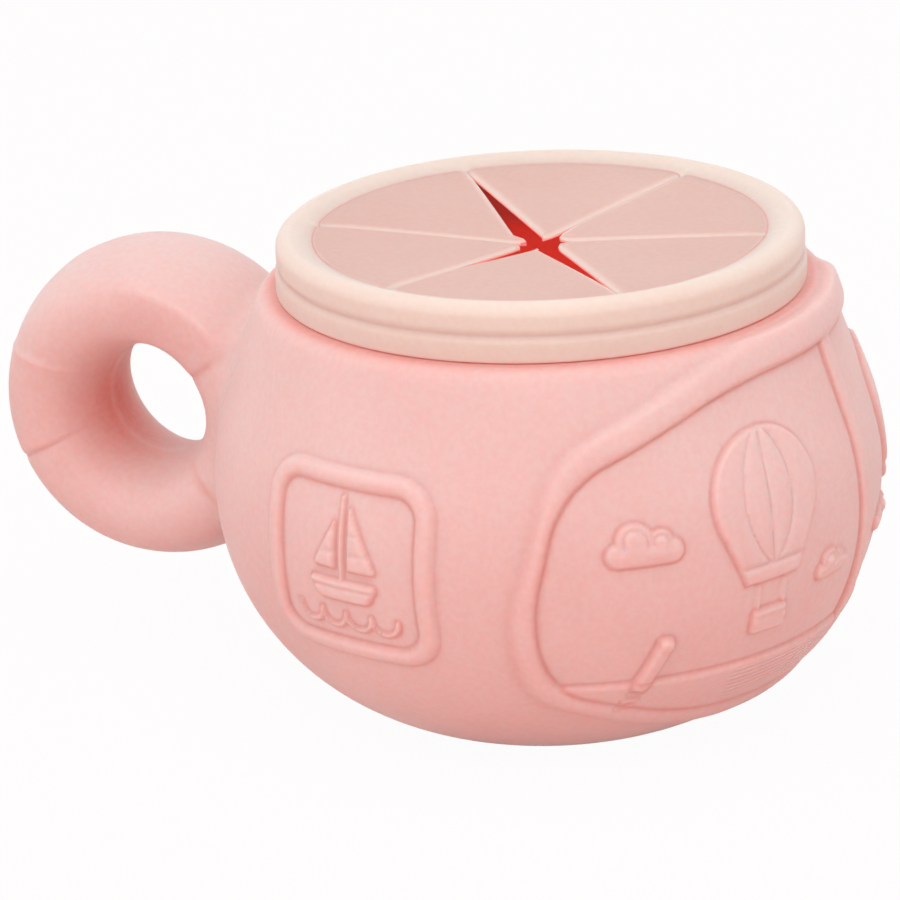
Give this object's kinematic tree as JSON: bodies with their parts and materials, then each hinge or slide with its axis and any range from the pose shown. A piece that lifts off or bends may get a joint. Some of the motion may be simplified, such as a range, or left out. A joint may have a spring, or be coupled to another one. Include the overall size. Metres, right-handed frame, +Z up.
{
  "type": "toddler snack container",
  "caption": "Round silicone snack bowl with a ring handle, raised window frames and a push-on lid whose thin top is slit into flaps for a small hand.",
  "frame": {"origin": "centre of the flat foot, on the surface that the bowl stands on, on the bowl's axis", "axes": "+Z up along the bowl's axis; +X towards the nose, with the ring handle at -X; the bowl and handle are symmetric about the XZ plane"},
  "size_m": [0.1619, 0.1166, 0.0824],
  "materials": {
    "bowl_silicone": "soft matte moulded silicone",
    "lid_silicone": "milky translucent silicone, satin"
  },
  "bodies": {
    "bowl": {"bowl": "bowl_silicone", "handle": "bowl_silicone"},
    "lid": {"lid_rim": "lid_silicone"},
    "flap_1": {"flap_1": "lid_silicone"},
    "flap_2": {"flap_2": "lid_silicone"},
    "flap_3": {"flap_3": "lid_silicone"},
    "flap_4": {"flap_4": "lid_silicone"},
    "flap_5": {"flap_5": "lid_silicone"},
    "flap_6": {"flap_6": "lid_silicone"}
  },
  "joints": [
    {"name": "lid_pull", "type": "slide", "parent": "bowl", "child": "lid", "axis": [0, 0, 1], "range_m": [0, 0.06]},
    {"name": "flap_1_bend", "type": "hinge", "parent": "lid", "child": "flap_1", "pos_m": [0.02286, 0.02095, 0.0798], "axis": [-0.6756, 0.7373, 0], "range_deg": [-67, 53], "stiffness_Nm_per_rad": 0.008},
    {"name": "flap_2_bend", "type": "hinge", "parent": "lid", "child": "flap_2", "pos_m": [-0.00671, 0.03027, 0.0798], "axis": [-0.9763, -0.2164, 0], "range_deg": [-67, 53], "stiffness_Nm_per_rad": 0.008},
    {"name": "flap_3_bend", "type": "hinge", "parent": "lid", "child": "flap_3", "pos_m": [-0.02957, 0.00932, 0.0798], "axis": [-0.3007, -0.9537, 0], "range_deg": [-67, 53], "stiffness_Nm_per_rad": 0.008},
    {"name": "flap_4_bend", "type": "hinge", "parent": "lid", "child": "flap_4", "pos_m": [-0.02286, -0.02095, 0.0798], "axis": [0.6756, -0.7373, 0], "range_deg": [-67, 53], "stiffness_Nm_per_rad": 0.008},
    {"name": "flap_5_bend", "type": "hinge", "parent": "lid", "child": "flap_5", "pos_m": [0.00671, -0.03027, 0.0798], "axis": [0.9763, 0.2164, 0], "range_deg": [-67, 53], "stiffness_Nm_per_rad": 0.008},
    {"name": "flap_6_bend", "type": "hinge", "parent": "lid", "child": "flap_6", "pos_m": [0.02957, -0.00932, 0.0798], "axis": [0.3007, 0.9537, 0], "range_deg": [-67, 53], "stiffness_Nm_per_rad": 0.008}
  ]
}
